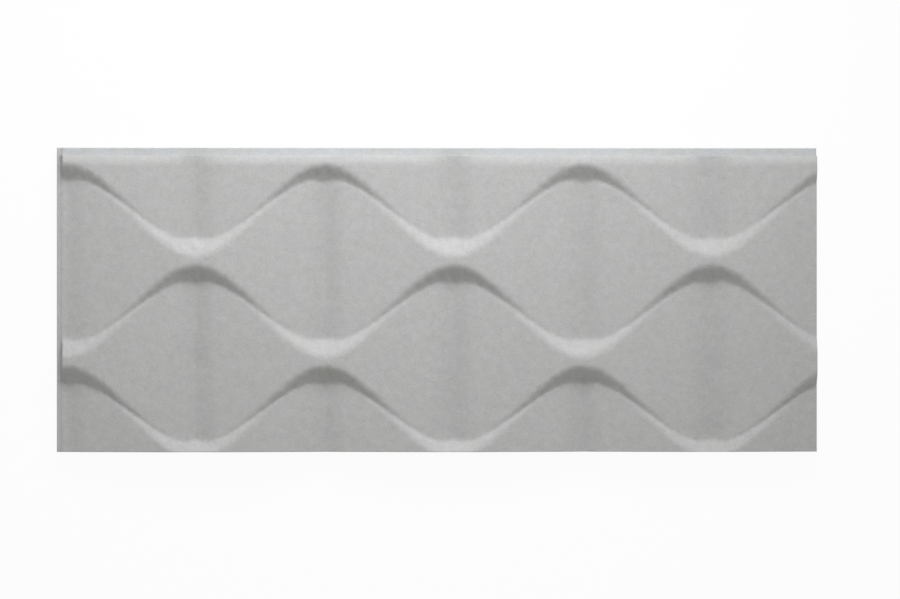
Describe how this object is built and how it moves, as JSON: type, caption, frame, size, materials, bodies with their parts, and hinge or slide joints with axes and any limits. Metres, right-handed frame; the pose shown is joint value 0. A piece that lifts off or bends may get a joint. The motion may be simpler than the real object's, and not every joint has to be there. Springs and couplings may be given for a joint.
{
  "type": "faux stone foam panel",
  "caption": "Flat-backed foam wall panel with a staggered wave relief of necks and creases, and a narrow lip along two edges.",
  "frame": {"origin": "on the flat back, under the middle of the panel", "axes": "+X along the panel's length, +Y across its width to the top edge with the lip, +Z out of the relief face"},
  "size_m": [1, 0.4, 0.03],
  "materials": {
    "stone_grey_foam": "matt, fine stone-like grain"
  },
  "bodies": {
    "root": {"panel": "stone_grey_foam"}
  },
  "joints": []
}
